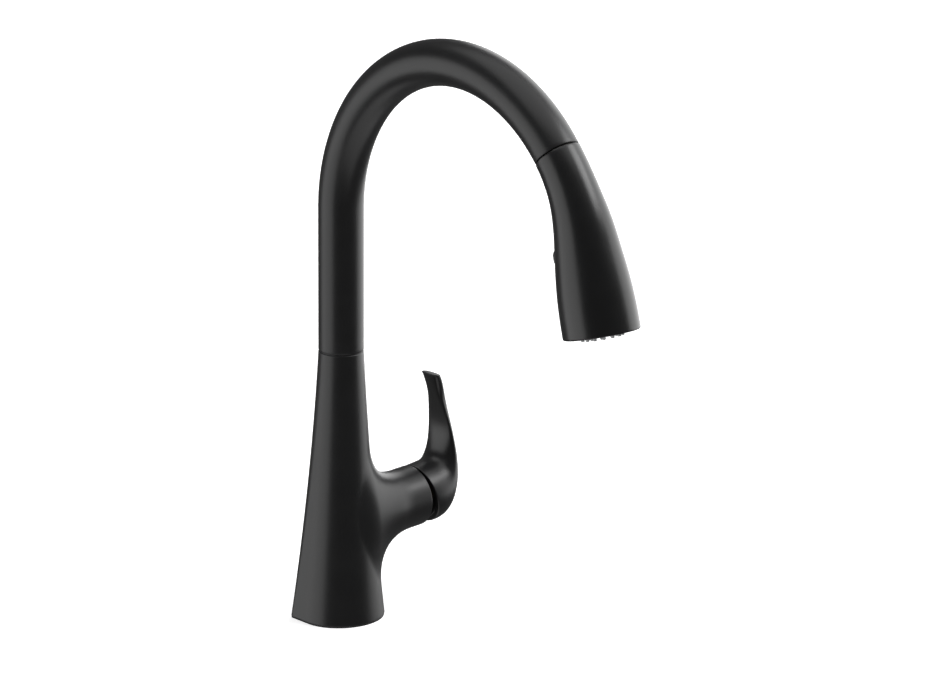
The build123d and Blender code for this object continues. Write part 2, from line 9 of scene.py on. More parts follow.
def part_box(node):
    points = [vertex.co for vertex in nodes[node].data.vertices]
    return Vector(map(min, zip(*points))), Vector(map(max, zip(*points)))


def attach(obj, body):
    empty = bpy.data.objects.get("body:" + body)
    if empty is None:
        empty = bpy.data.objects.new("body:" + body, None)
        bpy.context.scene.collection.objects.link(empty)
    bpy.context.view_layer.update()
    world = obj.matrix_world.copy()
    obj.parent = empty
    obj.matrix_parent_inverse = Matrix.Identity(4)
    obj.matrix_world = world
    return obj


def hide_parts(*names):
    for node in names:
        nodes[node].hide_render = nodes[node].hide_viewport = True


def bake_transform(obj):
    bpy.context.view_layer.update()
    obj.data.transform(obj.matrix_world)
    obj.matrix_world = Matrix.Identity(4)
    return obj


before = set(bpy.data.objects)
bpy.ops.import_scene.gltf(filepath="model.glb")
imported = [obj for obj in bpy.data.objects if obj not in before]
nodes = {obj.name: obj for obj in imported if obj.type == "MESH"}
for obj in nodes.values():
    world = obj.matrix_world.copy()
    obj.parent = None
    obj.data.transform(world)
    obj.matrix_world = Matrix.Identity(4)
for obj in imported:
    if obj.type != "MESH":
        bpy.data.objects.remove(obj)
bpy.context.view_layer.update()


# ---------------------------------------------------------------------------------------------
# Studio: a white floor, a broad soft panel on the left, a brighter one on the right and behind,
# and one overhead. The camera stands in front of the faucet on the left, a little above it.

def linear(hex_colour):
    """An sRGB hex colour as linear RGBA."""
    rgb = [int(hex_colour[i:i + 2], 16) / 255 for i in (1, 3, 5)]
    return [c / 12.92 if c <= 0.04045 else ((c + 0.055) / 1.055) ** 2.4 for c in rgb] + [1]


def add(tree, kind, inputs=None, **settings):
    """Adds a node with its settings; an input is a value or another node's output socket."""
    node = tree.nodes.new(kind)
    for name, value in settings.items():
        setattr(node, name, value)
    for name, value in (inputs or {}).items():
        if isinstance(value, bpy.types.NodeSocket):
            tree.links.new(value, node.inputs[name])
        else:
            node.inputs[name].default_value = value
    return node


def new_material(name):
    """An empty material, its tree and the shader that ends it."""
    material = bpy.data.materials.new(name)
    material.use_nodes = True
    tree = material.node_tree
    tree.nodes.clear()
    shader = add(tree, "ShaderNodeBsdfPrincipled")
    add(tree, "ShaderNodeOutputMaterial", {"Surface": shader.outputs["BSDF"]})
    return material, tree, shader


mm = 0.001
seam_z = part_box("body_shell")[1].z
view_azimuth = radians(-40.97)
view_elevation = radians(16.56)
view_distance = 2.9648
view_turn = radians(1.417)     # the faucet stands left of the picture's middle
aim = Vector((0, 0, seam_z)) + 0.00524 * Vector((cos(view_azimuth), sin(view_azimuth), 0))
look = Matrix.Rotation(view_azimuth, 4, "Z") @ Matrix.Rotation(pi / 2 - view_elevation, 4, "X")
camera = bpy.data.objects.new("camera", bpy.data.cameras.new("camera"))
bpy.context.scene.collection.objects.link(camera)
camera.data.sensor_width = 36
camera.data.lens = 182.55
camera.data.clip_end = 50      # past the floor's far edge
camera.matrix_world = (Matrix.Translation(aim) @ look @ Matrix.Translation((0, 0, view_distance))
                       @ Matrix.Rotation(-view_turn, 4, "Y"))
bpy.context.scene.camera = camera

# White studio paper: matt, lit and glowing a little, so that it stays white round the faucet.
paper, paper_tree, paper_shader = new_material("white_studio_paper")
paper_grain = add(paper_tree, "ShaderNodeTexNoise", {
    "Vector": add(paper_tree, "ShaderNodeTexCoord").outputs["Object"], "Scale": 400, "Detail": 2})
paper_tone = add(paper_tree, "ShaderNodeValToRGB", {"Fac": paper_grain.outputs["Fac"]})
paper_tone.color_ramp.elements[0].color = linear("#f4f4f4")
paper_tone.color_ramp.elements[1].color = linear("#ffffff")
paper_tree.links.new(paper_tone.outputs["Color"], paper_shader.inputs["Base Color"])
paper_shader.inputs["Roughness"].default_value = 0.9
paper_shader.inputs["Specular IOR Level"].default_value = 0
paper_shader.inputs["Emission Color"].default_value = linear("#ffffff")
paper_shader.inputs["Emission Strength"].default_value = 0.52

floor_size = 14.0
floor_mesh = bpy.data.meshes.new("floor")
corners = [(-1, -1), (1, -1), (1, 1), (-1, 1)]
floor_mesh.from_pydata([(x * floor_size, y * floor_size, 0) for x, y in corners], [], [(0, 1, 2, 3)])
floor_mesh.materials.append(paper)
floor = bpy.data.objects.new("floor", floor_mesh)
bpy.context.scene.collection.objects.link(floor)
floor.visible_diffuse = floor.visible_glossy = floor.visible_shadow = False


middle = 0.2                   # half the faucet's height, which the lights face


def soft_box(name, azimuth, elevation, distance, width, height, watts):
    """A rectangular area light that faces the middle of the faucet."""
    data = bpy.data.lights.new(name, "AREA")
    data.shape = "RECTANGLE"
    data.size = width
    data.size_y = height
    data.energy = watts
    light = bpy.data.objects.new(name, data)
    bpy.context.scene.collection.objects.link(light)
    turn = Matrix.Rotation(radians(azimuth), 4, "Z") @ Matrix.Rotation(pi / 2 - radians(elevation), 4, "X")
    light.visible_camera = False
    light.matrix_world = Matrix.Translation((0, 0, middle)) @ turn @ Matrix.Translation((0, 0, distance))


soft_box("overhead_box", -41, 88, 2.6, 3.5, 3.5, 45)
soft_box("left_panel", -118, -4, 1.6, 2.2, 1.6, 17)
soft_box("right_back_panel", 88, 12, 1.6, 3.0, 2.0, 42)
soft_box("front_right_box", 40, 42, 1.6, 0.7, 0.6, 9)
soft_box("low_panel", -41, -72, 1.7, 2.2, 2.2, 13)
world = bpy.data.worlds.new("studio_air")
world.use_nodes = True
air = world.node_tree
backdrop = add(air, "ShaderNodeBackground", {"Color": linear("#ffffff"), "Strength": 1.0})
room = air.nodes["Background"]
room.inputs["Color"].default_value = linear("#ffffff")
room.inputs["Strength"].default_value = 0.12
seen = add(air, "ShaderNodeMixShader", {
    0: add(air, "ShaderNodeLightPath").outputs["Is Camera Ray"],
    1: room.outputs["Background"], 2: backdrop.outputs["Background"]})
air.links.new(seen.outputs["Shader"], air.nodes["World Output"].inputs["Surface"])
bpy.context.scene.world = world
bpy.context.scene.view_settings.view_transform = "Standard"


# ---------------------------------------------------------------------------------------------
# Body: one hollow brass casting with its side boss, ground, then powder coated in satin black.
# It is round in front and square at the back, flares to its foot, and flows into the boss in a
# wide hollow.

def place(name, mesh, material, body, slot, *replaced, sharp=35):
    """Makes a finished mesh an object that rides on a body and stands for its CAD nodes."""
    mesh.name = name
    mesh.shade_smooth()
    mesh.set_sharp_from_angle(angle=radians(sharp))
    mesh.materials.clear()
    mesh.materials.append(material)
    piece = bpy.data.objects.new(name, mesh)
    bpy.context.scene.collection.objects.link(piece)
    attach(piece, body)
    if replaced:
        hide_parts(*replaced)
    return piece


def evaluated_mesh(mesh, *modifiers):
    """A mesh with modifiers applied; each is (kind, settings)."""
    carrier = bpy.data.objects.new("carrier", mesh)
    bpy.context.scene.collection.objects.link(carrier)
    for kind, settings in modifiers:
        modifier = carrier.modifiers.new(kind.lower(), kind)
        for name, value in settings.items():
            setattr(modifier, name, value)
    bpy.context.view_layer.update()
    result = bpy.data.meshes.new_from_object(
        carrier.evaluated_get(bpy.context.evaluated_depsgraph_get()))
    bpy.data.objects.remove(carrier)
    return result


def mesh_of(points, faces):
    mesh = bpy.data.meshes.new("made")
    mesh.from_pydata([tuple(p) for p in points], [], faces)
    mesh.validate()
    return mesh


def rings_mesh(rings, closed=False):
    """A mesh through rings of points with equal counts; closed joins the last ring to the first."""
    count = len(rings[0])
    last = len(rings) if closed else len(rings) - 1
    faces = []
    for i in range(last):
        a, b = i * count, (i + 1) % len(rings) * count
        faces += [(a + j, a + (j + 1) % count, b + (j + 1) % count, b + j) for j in range(count)]
    if not closed:
        faces.append(tuple(range(count))[::-1])
        faces.append(tuple(range((len(rings) - 1) * count, len(rings) * count)))
    return mesh_of([p for ring in rings for p in ring], faces)


body_height = seam_z / mm
neck_radius = 14.3
foot_half_width, foot_front, foot_back, foot_corner = 28.4, 26.8, 17.7, 2.8
gasket_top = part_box("deck_gasket")[1].z / mm
boss_tilt = radians(3.2)
boss_height = 63.6
boss_reach = 60.7
boss_radius = 19.34
boss_root_front, boss_root_back = 15.5, 9.5      # half the boss's depth where it leaves the body
boss_axis = np.array([cos(boss_tilt), 0, sin(boss_tilt)])
boss_up = np.array([-sin(boss_tilt), 0, cos(boss_tilt)])
boss_sag = 0.5                 # its underside hangs a little lower than a true round
rim_round = 0.5


def boss_depth(out, y):
    """Half the boss's depth at a distance along its axis, in front or behind."""
    swell = np.clip((out - 8) / 30, 0, 1)
    root = np.where(y < 0, boss_root_front, boss_root_back)
    return root + (boss_radius - root) * swell * swell * (3 - 2 * swell)


def casting_field(p):
    """Distance in mm to the casting's surface, below zero inside it."""
    x, y, z = p.T
    drop = np.clip((body_height - z) / body_height, 0, 1.05)
    flare = 0.63 * drop + 0.37 * drop ** 2
    half = neck_radius + (foot_half_width - neck_radius) * flare
    front = neck_radius + (foot_front - neck_radius) * flare
    back = neck_radius + (foot_back - neck_radius) * drop
    corner = foot_corner + (neck_radius - foot_corner) * (1 - drop ** 1.7)
    oval = np.sqrt((x / half) ** 2 + (y / front) ** 2) + 1e-9
    slope = np.sqrt((x / half ** 2) ** 2 + (y / front ** 2) ** 2) / oval + 1e-9
    round_side = (oval - 1) / slope
    qx, qy = np.abs(x) - half + corner, y - back + corner
    outside = np.hypot(np.maximum(qx, 0), np.maximum(qy, 0))
    square_side = outside + np.minimum(np.maximum(qx, qy), 0) - corner
    body = np.where(y < 0, round_side, square_side)

    q = p - [0, 0, boss_height]
    out, up = q @ boss_axis, q @ boss_up
    high = np.where(up < 0, up * boss_radius / (boss_radius + boss_sag), up)
    boss = np.hypot(y * boss_radius / boss_depth(out, y), high) - boss_radius
    boss = np.maximum(boss, 6 - out)

    low = np.clip(0.5 - up / 24, 0, 1)
    grow = np.clip((out + 12) / 26, 0.1, 1)
    behind = np.clip(y / 12 + 0.5, 0, 1)
    level = np.clip(1 - np.abs(up) / boss_radius, 0, 1)
    tight = 1 - 0.45 * behind * level * level * (3 - 2 * level)
    blend = (30 - 2 * low) * grow * grow * (3 - 2 * grow) * tight
    share = np.maximum(blend - np.abs(body - boss), 0) / blend
    return np.minimum(body, boss) - share ** 2 * blend / 4


def field_slope(p):
    h = 0.05
    return np.stack([(casting_field(p + d) - casting_field(p - d)) / (2 * h) for d in np.eye(3) * h], 1)


def casting_section(z):
    """The casting's section without its boss: an oval in front, a square with round corners behind."""
    drop = min(max((body_height - z) / body_height, 0), 1.05)
    flare = 0.63 * drop + 0.37 * drop ** 2
    half = neck_radius + (foot_half_width - neck_radius) * flare
    front = neck_radius + (foot_front - neck_radius) * flare
    back = neck_radius + (foot_back - neck_radius) * drop
    corner = foot_corner + (neck_radius - foot_corner) * (1 - min(drop, 1) ** 1.7)
    ring = [(half * cos(a), front * sin(a), z) for a in np.linspace(pi, 2 * pi, 49)]
    for side, turn in ((1, 0), (-1, pi / 2)):
        ring += [(side * (half - corner) + corner * cos(a), back - corner + corner * sin(a), z)
                 for a in np.linspace(turn, turn + pi / 2, 13)]
    return ring


def boss_section(out):
    side = np.array([0, 1.0, 0])
    centre = np.array([0, 0, boss_height]) + boss_axis * out
    return [centre + boss_depth(out, cos(a)) * cos(a) * side + (boss_radius - 0.2) * sin(a) * boss_up
            for a in np.linspace(0, 2 * pi, 64, False)]


rough = bmesh.new()
rough.from_mesh(rings_mesh([casting_section(z) for z in np.linspace(-6, body_height + 6, 60)]))
rough.from_mesh(rings_mesh([boss_section(out) for out in np.linspace(8, boss_reach + 6, 20)]))
bmesh.ops.recalc_face_normals(rough, faces=rough.faces)
rough_mesh = bpy.data.meshes.new("rough")
rough.to_mesh(rough_mesh)
casting = evaluated_mesh(rough_mesh, ("REMESH", {"mode": "VOXEL", "voxel_size": 1.0}))

shape = bmesh.new()
shape.from_mesh(casting)
points = np.array([v.co for v in shape.verts])
pairs = np.array([[e.verts[0].index, e.verts[1].index] for e in shape.edges])
links = np.bincount(pairs.ravel(), minlength=len(points))[:, None]
open_ends = (points[:, 2] < -3) | (points[:, 2] > body_height + 3) | (
    (points - [0, 0, boss_height]) @ boss_axis > boss_reach + 3)
for step in range(14):
    if step % 2:
        near = np.zeros_like(points)
        for axis in range(3):
            near[:, axis] = (np.bincount(pairs[:, 0], points[pairs[:, 1], axis], len(points))
                             + np.bincount(pairs[:, 1], points[pairs[:, 0], axis], len(points)))
        points = np.where(open_ends[:, None], points, 0.5 * points + 0.5 * near / links)
    slope = field_slope(points)
    move = casting_field(points)[:, None] * slope / np.maximum((slope ** 2).sum(1), 1e-6)[:, None]
    points = np.where(open_ends[:, None], points, points - np.clip(move, -3, 3))
for vert, point in zip(shape.verts, points):
    vert.co = point


def finish_rim(shape, point, normal, depths):
    """Cuts the casting square and turns its edge over: rounding, flat face, then the inner wall."""
    normal = Vector(normal)
    cut = Vector(point) - normal * rim_round
    everything = shape.verts[:] + shape.edges[:] + shape.faces[:]
    bmesh.ops.bisect_plane(shape, geom=everything, plane_co=cut, plane_no=normal, clear_outer=True)
    rim = [e for e in shape.edges
           if e.is_boundary and all(abs((v.co - cut).dot(normal)) < 1e-4 for v in e.verts)]
    inward = {}
    for edge in rim:
        for vert in edge.verts:
            slope = Vector(field_slope(np.array([vert.co]))[0])
            slope -= slope.dot(normal) * normal
            inward[vert] = (vert.co.copy(), -slope.normalized())
    steps = [(rim_round * (1 - cos(a)), rim_round * sin(a)) for a in np.linspace(0, pi / 2, 4)[1:]]
    steps += [(inset, rim_round - back) for inset, back in depths]
    for inset, rise in steps:
        made = bmesh.ops.extrude_edge_only(shape, edges=rim)["geom"]
        verts = [g for g in made if isinstance(g, bmesh.types.BMVert)]
        moved = {}
        for vert in verts:
            old = next(o for e in vert.link_edges for o in e.verts if o in inward and o is not vert)
            start, direction = inward[old]
            vert.co = start + direction * inset + normal * rise
            moved[vert] = inward[old]
        inward = moved
        rim = [g for g in made if isinstance(g, bmesh.types.BMEdge) and g.is_boundary]


finish_rim(shape, (0, 0, body_height), (0, 0, 1), [(2.3, 0), (2.3, 8)])
finish_rim(shape, (0, 0, gasket_top), (0, 0, -1), [(2.4, 0), (2.4, 6)])
rim_centre = Vector((0, 0, boss_height)) + boss_reach * Vector(boss_axis)
finish_rim(shape, rim_centre, boss_axis, [(3.6, 0), (3.6, 6)])
bmesh.ops.recalc_face_normals(shape, faces=shape.faces)
shape.to_mesh(casting)
casting.transform(Matrix.Scale(mm, 4))


def black_coat(name, roughness, peel):
    """Satin black coat: a near-black with the slight ripple of sprayed and baked powder.

    The ripple is about a millimetre across, and the coat's thickness varies over some 20 mm."""
    material, tree, shader = new_material(name)
    place_in = add(tree, "ShaderNodeTexCoord").outputs["Object"]
    ripple = add(tree, "ShaderNodeTexNoise", {
        "Vector": place_in, "Scale": 1 / (1.1 * mm), "Detail": 2.0})
    cloud = add(tree, "ShaderNodeTexNoise", {
        "Vector": place_in, "Scale": 1 / (22 * mm), "Detail": 3.0})
    tone = add(tree, "ShaderNodeValToRGB", {"Fac": cloud.outputs["Fac"]})
    tone.color_ramp.elements[0].position, tone.color_ramp.elements[1].position = 0.35, 0.7
    tone.color_ramp.elements[0].color = linear("#121213")
    tone.color_ramp.elements[1].color = linear("#171718")
    sheen = add(tree, "ShaderNodeMapRange", {
        "Value": cloud.outputs["Fac"], "To Min": roughness - 0.03, "To Max": roughness + 0.04})
    bump = add(tree, "ShaderNodeBump", {
        "Height": ripple.outputs["Fac"], "Strength": peel, "Distance": 0.02 * mm})
    tree.links.new(tone.outputs["Color"], shader.inputs["Base Color"])
    tree.links.new(sheen.outputs["Result"], shader.inputs["Roughness"])
    tree.links.new(bump.outputs["Normal"], shader.inputs["Normal"])
    shader.inputs["IOR"].default_value = 1.5
    return material


# The coat on ground brass is even and satin.
coat_on_brass = black_coat("black_powder_coat_on_brass", 0.36, 0.35)
place("body_casting", casting, coat_on_brass, "body", "black_coat_body", "body_shell")


# ---------------------------------------------------------------------------------------------
# Gooseneck: drawn brass tube with turned ends, bent over a round former and coated like the
# body. It turns in the body on a thin ring that shows as a fine seam.

def node_tree(name, *sizes):
    """A Geometry Nodes tree with a geometry socket and a named input for each size."""
    tree = bpy.data.node_groups.new(name, "GeometryNodeTree")
    tree.interface.new_socket("Geometry", in_out="INPUT", socket_type="NodeSocketGeometry")
    for size in sizes:
        kind = "NodeSocketInt" if size.endswith("count") else "NodeSocketFloat"
        tree.interface.new_socket(size, in_out="INPUT", socket_type=kind)
    tree.interface.new_socket("Geometry", in_out="OUTPUT", socket_type="NodeSocketGeometry")
    return tree, add(tree, "NodeGroupInput").outputs


def end_tree(tree, geometry, material):
    whole = add(tree, "GeometryNodeRealizeInstances", {"Geometry": geometry})
    coated = add(tree, "GeometryNodeSetMaterial", {
        "Geometry": whole.outputs["Geometry"], "Material": material})
    add(tree, "NodeGroupOutput", {"Geometry": coated.outputs["Geometry"]})


def run_tree(tree, mesh, sizes):
    """The plain mesh that a tree makes from a mesh, with its named sizes set."""
    carrier = bpy.data.objects.new("carrier", mesh)
    bpy.context.scene.collection.objects.link(carrier)
    modifier = carrier.modifiers.new(tree.name, "NODES")
    modifier.node_group = tree
    for socket in tree.interface.items_tree:
        if socket.name in sizes:
            modifier[socket.identifier] = sizes[socket.name]
    bpy.context.view_layer.update()
    result = bpy.data.meshes.new_from_object(
        carrier.evaluated_get(bpy.context.evaluated_depsgraph_get()))
    bpy.data.objects.remove(carrier)
    return result


def turned(profile, around=96):
    """A turned piece about Z: profile is a closed loop of (radius, height) in mm."""
    ring_angles = np.linspace(0, 2 * pi, around, False)
    return rings_mesh([[(r * cos(a) * mm, r * sin(a) * mm, z * mm) for a in ring_angles]
                       for r, z in profile], closed=True)


def pipe_profile(radius_at, bore_at, start, end, step, round_low, round_high):
    """Loop of a pipe's wall: outside with rounded ends, then back up the bore."""
    outside = [(radius_at(z), z) for z in
               np.linspace(start + round_low, end - round_high, ceil((end - start) / step))]
    low = [(radius_at(start + round_low) - round_low * (1 - sin(a)), start + round_low * (1 - cos(a)))
           for a in np.linspace(0, pi / 2, 5)[:-1]]
    high = [(radius_at(end - round_high) - round_high * (1 - cos(a)), end - round_high + round_high * sin(a))
            for a in np.linspace(0, pi / 2, 5)[1:]]
    bore = [(bore_at(z), z) for z in np.linspace(end, start, ceil((end - start) / (2 * step)))]
    return low + outside + high + bore


bend_tree, size = node_tree("bend_over_former", "Bend start", "Bend radius", "Bend turn")
place_now = add(bend_tree, "GeometryNodeInputPosition").outputs[0]
at = add(bend_tree, "ShaderNodeSeparateXYZ", {0: place_now}).outputs
along = add(bend_tree, "ShaderNodeMath", {0: at["Z"], 1: size["Bend start"]}, operation="SUBTRACT")
share = add(bend_tree, "ShaderNodeMath", {0: along.outputs[0], 1: size["Bend radius"]}, operation="DIVIDE")
angle = add(bend_tree, "ShaderNodeClamp", {
    "Value": share.outputs[0], "Min": 0.0, "Max": size["Bend turn"]}).outputs[0]
arc = add(bend_tree, "ShaderNodeMath", {0: angle, 1: size["Bend radius"]}, operation="MULTIPLY")
straight = add(bend_tree, "ShaderNodeMath", {0: along.outputs[0], 1: arc.outputs[0]}, operation="SUBTRACT")
cosine = add(bend_tree, "ShaderNodeMath", {0: angle}, operation="COSINE")
sine = add(bend_tree, "ShaderNodeMath", {0: angle}, operation="SINE")
reach = add(bend_tree, "ShaderNodeMath", {0: at["Y"], 1: size["Bend radius"]}, operation="ADD")
reach_y = add(bend_tree, "ShaderNodeMath", {
    0: reach.outputs[0], 1: cosine.outputs[0]}, operation="MULTIPLY")
reach_z = add(bend_tree, "ShaderNodeMath", {
    0: reach.outputs[0], 1: sine.outputs[0], 2: size["Bend start"]}, operation="MULTIPLY_ADD")
inwards = add(bend_tree, "ShaderNodeMath", {
    0: straight.outputs[0], 1: sine.outputs[0], 2: size["Bend radius"]}, operation="MULTIPLY_ADD")
new_y = add(bend_tree, "ShaderNodeMath", {0: reach_y.outputs[0], 1: inwards.outputs[0]}, operation="SUBTRACT")
new_z = add(bend_tree, "ShaderNodeMath", {
    0: straight.outputs[0], 1: cosine.outputs[0], 2: reach_z.outputs[0]}, operation="MULTIPLY_ADD")
bent = add(bend_tree, "GeometryNodeSetPosition", {
    "Geometry": size["Geometry"],
    "Position": add(bend_tree, "ShaderNodeCombineXYZ", {
        "X": at["X"], "Y": new_y.outputs[0], "Z": new_z.outputs[0]}).outputs[0]})
end_tree(bend_tree, bent.outputs["Geometry"], coat_on_brass)

seam = 0.6
rise = 92.2
arch_radius = 110.3
arch_turn = radians(139.5)
tube_wall = 1.4
arch_start = body_height + rise
tube_end = arch_start + arch_radius * arch_turn
tube_edge = 0.6                # rounding of its turned ends
tube = turned(pipe_profile(lambda z: neck_radius, lambda z: neck_radius - tube_wall,
                           body_height + seam, tube_end, 2.0, tube_edge, tube_edge))
tube = run_tree(bend_tree, tube, {"Bend start": arch_start * mm, "Bend radius": arch_radius * mm,
                                  "Bend turn": arch_turn})
place("gooseneck", tube, coat_on_brass, "spout", "black_coat_spout", "spout_tube", sharp=50)


# ---------------------------------------------------------------------------------------------
# Lever: hub and lever in one zinc casting, coated like the body. The hub's rim leans away from
# the boss below, which leaves a dark wedge between them, and the lever's top is cut on a slant.

def smooth_line(points, count):
    """Evenly shared points on a smooth curve through the given ones."""
    points = np.array(points, float)
    knots = np.concatenate([[0], np.cumsum(np.linalg.norm(np.diff(points[:, :2], axis=0), axis=1))])
    gaps = np.diff(knots)
    n = len(points)
    system, right = np.eye(n), np.zeros_like(points)
    for i in range(1, n - 1):
        system[i, i - 1:i + 2] = gaps[i - 1], 2 * (gaps[i - 1] + gaps[i]), gaps[i]
        right[i] = 6 * ((points[i + 1] - points[i]) / gaps[i] - (points[i] - points[i - 1]) / gaps[i - 1])
    system[0, 1] = system[-1, -2] = -1
    curve = np.linalg.solve(system, right)
    where = np.linspace(0, knots[-1], count)
    cell = np.clip(np.searchsorted(knots, where, side="right") - 1, 0, n - 2)
    a = (knots[cell + 1] - where)[:, None]
    b = (where - knots[cell])[:, None]
    h = gaps[cell][:, None]
    return (curve[cell] * a ** 3 + curve[cell + 1] * b ** 3) / (6 * h) + (
        points[cell] / h - curve[cell] * h / 6) * a + (points[cell + 1] / h - curve[cell + 1] * h / 6) * b


gap_lean = radians(13)
rim_x, rim_z = 65.1, 67.2
lever_inner = [(rim_x - boss_radius * sin(gap_lean), rim_z + boss_radius * cos(gap_lean)),
               (68.6, 87.0), (76.4, 88.9), (81.3, 96.4), (82.3, 110.0),
               (79.7, 122.0), (76.3, 134.5), (72.5, 146.1)]
lever_outer = [(rim_x + boss_radius * sin(gap_lean), rim_z - boss_radius * cos(gap_lean) - 0.5),
               (82.4, 52.2), (89.2, 67.6), (89.2, 89.5), (87.4, 108.5),
               (85.6, 122.0), (83.2, 134.0), (79.4, 144.9)]
lever_half_widths = (boss_radius, boss_radius, 15.5, 9.2, 6.5, 6.4, 6.8, 7.1)
lever_steps = 113
inner_line, outer_line = smooth_line(lever_inner, lever_steps), smooth_line(lever_outer, lever_steps)
width_line = smooth_line([(i, w) for i, w in enumerate(lever_half_widths)], lever_steps)[:, 1]
around = np.linspace(0, 2 * pi, 72, False)


def lever_ring(inner, outer, half_width, shrink=0.0, shift=0.0, power=1.0):
    """A ring between the lever's inner and outer edge: an oval at power 1, squarer below it."""
    middle, half = (inner + outer) / 2, (inner - outer) / 2
    length = np.linalg.norm(half)
    across = half / length
    forward = np.array([across[1], -across[0]])
    ring = []
    for a in around:
        up, side = np.sign((sin(a), cos(a))) * np.abs((sin(a), cos(a))) ** power
        x, z = middle + across * (length - shrink) * up + forward * shift
        ring.append((x * mm, (half_width - shrink) * side * mm, z * mm))
    return ring


tip_round = 0.45
rim_steps = [(rim_round * (1 - sin(a)), rim_round * (1 - cos(a))) for a in np.linspace(0, pi / 2, 4)]
round_until, flat_from = 0.22, 0.47          # shares of the lever's length
flat_power = 0.7               # the lever is a rounded bar from there to its tip
rings = []
bore_radius, pocket_end, pocket_round = 16.6, 70.0, 4.0
pocket_depths = [(bore_radius, t) for t in np.linspace(boss_reach + 6, pocket_end - pocket_round, 4)]
pocket_depths += [(bore_radius - pocket_round * (1 - cos(a)), pocket_end - pocket_round * (1 - sin(a)))
                  for a in np.linspace(0, pi / 2, 6)[1:]]
for radius, depth in pocket_depths[::-1]:
    centre = np.array([0, 0, boss_height]) + boss_axis * depth
    rings.append([tuple((centre + radius * cos(a) * np.array([0, 1.0, 0]) + radius * sin(a) * boss_up) * mm)
                  for a in around])
rings.append(lever_ring(inner_line[0], outer_line[0], boss_radius, boss_radius - bore_radius))
for shrink, shift in rim_steps:
    rings.append(lever_ring(inner_line[0], outer_line[0], boss_radius, shrink, shift))
for i in range(1, lever_steps - 3):
    flatten = min(max((i / lever_steps - round_until) / (flat_from - round_until), 0), 1)
    power = 1 - (1 - flat_power) * flatten
    rings.append(lever_ring(inner_line[i], outer_line[i], width_line[i], power=power))
last = lever_steps - 1
for a in np.linspace(0, pi / 2, 6):
    rings.append(lever_ring(inner_line[last], outer_line[last], width_line[last],
                            tip_round * (1 - cos(a)), -tip_round * (1 - sin(a)), flat_power))
lever_mesh = rings_mesh(rings)
lever_shape = bmesh.new()
lever_shape.from_mesh(lever_mesh)
bmesh.ops.recalc_face_normals(lever_shape, faces=lever_shape.faces)
lever_shape.to_mesh(lever_mesh)
# The same coat on a tumbled zinc casting is a little smoother.
coat_on_zinc = black_coat("black_powder_coat_on_zinc", 0.34, 0.35)
place("hub_and_lever", lever_mesh, coat_on_zinc, "lever", "black_coat_lever", "handle_lever")


# ---------------------------------------------------------------------------------------------
# Spray head: a moulded ABS shell with the same satin black, bent in line with the gooseneck and
# flaring to its mouth. A window in its back lets the push button through.

head_arc_radius = 125.0
head_end_tilt = radians(15.3)
head_turn = pi - arch_turn - head_end_tilt
head_length = head_arc_radius * head_turn + 55.4
head_wall = 2.2
head_radii = (14.5, 14.8, 15.7, 17.4, 19.2, 21.0, 22.45, 23.2, 23.35)
dock = Matrix.Translation((0, (-arch_radius + arch_radius * cos(arch_turn)) * mm,
                           (arch_start + arch_radius * sin(arch_turn)) * mm))
dock = dock @ Matrix.Rotation(arch_turn, 4, "X")
head_line = smooth_line([(seam + (head_length - seam) * i / (len(head_radii) - 1), r)
                         for i, r in enumerate(head_radii)], 240)


def head_radius(z):
    return float(np.interp(z, head_line[:, 0], head_line[:, 1]))


# The coat on moulded ABS has the least ripple and the most gloss.
moulded_black = black_coat("black_coat_on_abs", 0.3, 0.25)
head_top_round, mouth_round = 0.65, 1.0
shell = turned(pipe_profile(head_radius, lambda z: head_radius(z) - head_wall,
                            seam, head_length, 1.2, head_top_round, mouth_round))
shell = run_tree(bend_tree, shell, {"Bend start": 0.0, "Bend radius": head_arc_radius * mm,
                                    "Bend turn": head_turn})
shell.transform(dock)

button_along = 62.6
button_wide, button_tall = 18.4, 10.0
button_corner = button_tall * 0.42
window_gap = 0.35


def head_frame(along):
    """Frame on the head's bent axis, in metres: Z to the mouth, Y to the back."""
    arc = min(max(along, 0), head_arc_radius * head_turn)
    a = arc / head_arc_radius
    y = -head_arc_radius * (1 - cos(a)) - (along - arc) * sin(a)
    z = head_arc_radius * sin(a) + (along - arc) * cos(a)
    return dock @ Matrix.Translation((0, y * mm, z * mm)) @ Matrix.Rotation(a, 4, "X")


def rounded_outline(half_wide, half_tall, corner, count=10):
    """Points of a rectangle with round corners."""
    points = []
    for k, (sx, sy) in enumerate(((1, 1), (-1, 1), (-1, -1), (1, -1))):
        for a in np.linspace(k * pi / 2, (k + 1) * pi / 2, count):
            points.append((sx * (half_wide - corner) + corner * cos(a),
                           sy * (half_tall - corner) + corner * sin(a)))
    return points


def cut_away(mesh, cutter):
    """A mesh less another."""
    tool = bpy.data.objects.new("tool", cutter)
    bpy.context.scene.collection.objects.link(tool)
    result = evaluated_mesh(mesh, ("BOOLEAN", {
        "operation": "DIFFERENCE", "solver": "EXACT", "object": tool}))
    bpy.data.objects.remove(tool)
    return result


button_frame = head_frame(button_along) @ Matrix.Rotation(pi, 4, "Z")
outline = rounded_outline(button_wide / 2 + window_gap, button_tall / 2 + window_gap,
                          button_corner + window_gap)
window = rings_mesh([[(x * mm, y_out * mm, z * mm) for x, z in outline] for y_out in (30, 8)])
window_shape = bmesh.new()
window_shape.from_mesh(window)
bmesh.ops.recalc_face_normals(window_shape, faces=window_shape.faces)
window_shape.to_mesh(window)
window.transform(button_frame)
shell = cut_away(shell, window)
place("spray_head_shell", shell, moulded_black, "spray_head", "black_coat_head", "head_shell", sharp=40)


# ---------------------------------------------------------------------------------------------
# Spray button: a moulded ABS pad that follows the shell's round back, with a shallow hollow for
# the thumb and a flange behind the shell that keeps it in.

